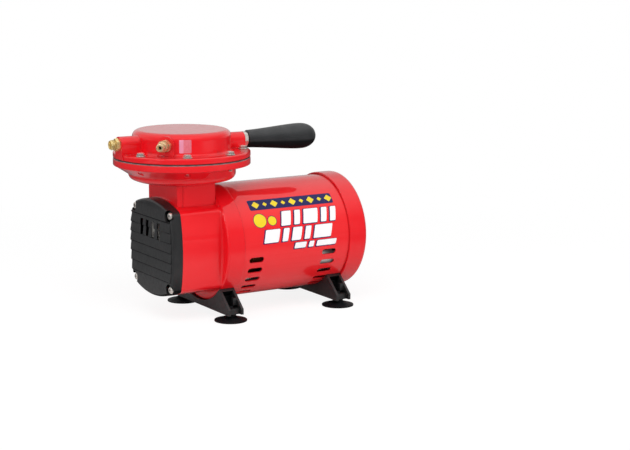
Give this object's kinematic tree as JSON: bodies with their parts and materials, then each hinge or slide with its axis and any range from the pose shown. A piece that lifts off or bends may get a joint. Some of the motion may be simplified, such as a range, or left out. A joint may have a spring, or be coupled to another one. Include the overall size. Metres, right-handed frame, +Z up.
{
  "type": "airbrush compressor",
  "caption": "Small tankless direct-drive diaphragm air compressor with a drum-shaped head, side handle, slotted motor tube and suction-cup feet.",
  "frame": {"origin": "centre of the bounding box at the surface that the suction cups rest on", "axes": "+X along the motor towards its rear cap, the crankcase and outlet are at -X; +Z up; Y across, the head, feet and motor are centred on it"},
  "size_m": [0.3246, 0.1626, 0.2237],
  "materials": {
    "red_cast": "gloss red enamel over cast aluminium",
    "red_enamel": "gloss red enamel over sheet steel",
    "black_plastic": "satin black moulded plastic",
    "grip_plastic": "satin black",
    "zinc_steel": "zinc plated",
    "spring_steel": "ground",
    "bearing_steel": "polished",
    "lamination_steel": "stacked sheets, varnished",
    "diaphragm_rubber": "fabric-faced rubber",
    "cup_rubber": "satin black",
    "aluminium": "as cast and machined",
    "cast_weight": "machined cast iron",
    "brass": "machined",
    "copper_winding": "varnished winding wire",
    "white_plastic": "pale capacitor can",
    "switch_plastic": "gloss black"
  },
  "bodies": {
    "housing": {"crankcase": "red_cast", "motor_tube": "red_enamel", "rear_cap": "red_enamel", "head_cover": "red_cast", "front_cover": "black_plastic", "cover_screws": "zinc_steel", "flange_screws": "zinc_steel", "foot_screws": "zinc_steel", "tie_bolts": "zinc_steel", "diaphragm": "diaphragm_rubber", "head_gasket": "diaphragm_rubber", "valve_plate": "aluminium", "valve_plate_screws": "zinc_steel", "outlet_reed_stop": "zinc_steel", "outlet_reed_screws": "zinc_steel", "outlet_fitting": "brass", "relief_valve_body": "brass", "relief_valve_cap": "brass", "relief_spring": "spring_steel", "handle_nut": "zinc_steel", "handle_stud": "zinc_steel", "handle_grip": "grip_plastic", "stator_core": "lamination_steel", "windings": "copper_winding", "front_bearing_outer": "bearing_steel", "front_bearing_balls": "bearing_steel", "rear_bearing_outer": "bearing_steel", "rear_bearing_balls": "bearing_steel", "run_capacitor": "white_plastic", "capacitor_strap": "zinc_steel", "front_foot_bracket": "black_plastic", "rear_foot_bracket": "black_plastic", "front_right_suction_cup": "cup_rubber", "front_left_suction_cup": "cup_rubber", "rear_right_suction_cup": "cup_rubber", "rear_left_suction_cup": "cup_rubber", "switch_housing": "black_plastic", "cable_gland": "black_plastic", "gland_nut": "black_plastic"},
    "rotor": {"motor_shaft": "spring_steel", "rotor_core": "lamination_steel", "rotor_end_rings": "aluminium", "cooling_fan": "black_plastic", "front_bearing_inner": "bearing_steel", "rear_bearing_inner": "bearing_steel", "eccentric": "cast_weight", "eccentric_set_screw": "zinc_steel", "crank_bearing_inner": "bearing_steel"},
    "conrod": {"connecting_rod": "aluminium", "crank_bearing_outer": "bearing_steel", "crank_bearing_balls": "bearing_steel", "lower_diaphragm_plate": "aluminium", "upper_diaphragm_plate": "aluminium", "centre_screw": "zinc_steel", "intake_reed_clamp": "zinc_steel", "intake_reed_screws": "zinc_steel"},
    "intake_flap": {"intake_reed": "spring_steel"},
    "outlet_flap": {"outlet_reed": "spring_steel"},
    "relief_plunger": {"relief_poppet": "brass"},
    "rocker": {"switch_rocker": "switch_plastic"}
  },
  "joints": [
    {"name": "rotor_spin", "type": "hinge", "parent": "housing", "child": "rotor", "pos_m": [-0.06945, 0, 0.0855], "axis": [1, 0, 0], "continuous": true},
    {"name": "rod_on_crankpin", "type": "hinge", "parent": "rotor", "child": "conrod", "pos_m": [-0.06945, 0, 0.0825], "axis": [1, 0, 0], "continuous": true, "deforming": ["diaphragm"]},
    {"name": "intake_reed_lift", "type": "hinge", "parent": "conrod", "child": "intake_flap", "pos_m": [-0.06945, 0.012, 0.1916], "axis": [1, 0, 0], "range_deg": [0, 4], "stiffness_Nm_per_rad": 0.02, "springref_deg": -1.72},
    {"name": "outlet_reed_lift", "type": "hinge", "parent": "housing", "child": "outlet_flap", "pos_m": [-0.06945, -0.012, 0.2036], "axis": [-1, 0, 0], "range_deg": [0, 4], "stiffness_Nm_per_rad": 0.02, "springref_deg": -1.72},
    {"name": "relief_lift", "type": "slide", "parent": "housing", "child": "relief_plunger", "axis": [-0.7071, -0.7071, 0], "range_m": [0, 0.0015], "stiffness_N_per_m": 600, "springref_m": -0.003, "deforming": ["relief_spring"]},
    {"name": "switch_rock", "type": "hinge", "parent": "housing", "child": "rocker", "pos_m": [0.14935, -0.022, 0.0455], "axis": [0, 1, 0], "range_deg": [0, 24]}
  ],
  "couplings": [
    {"joint": "rod_on_crankpin", "follows": "rotor_spin", "ratio": -1}
  ]
}
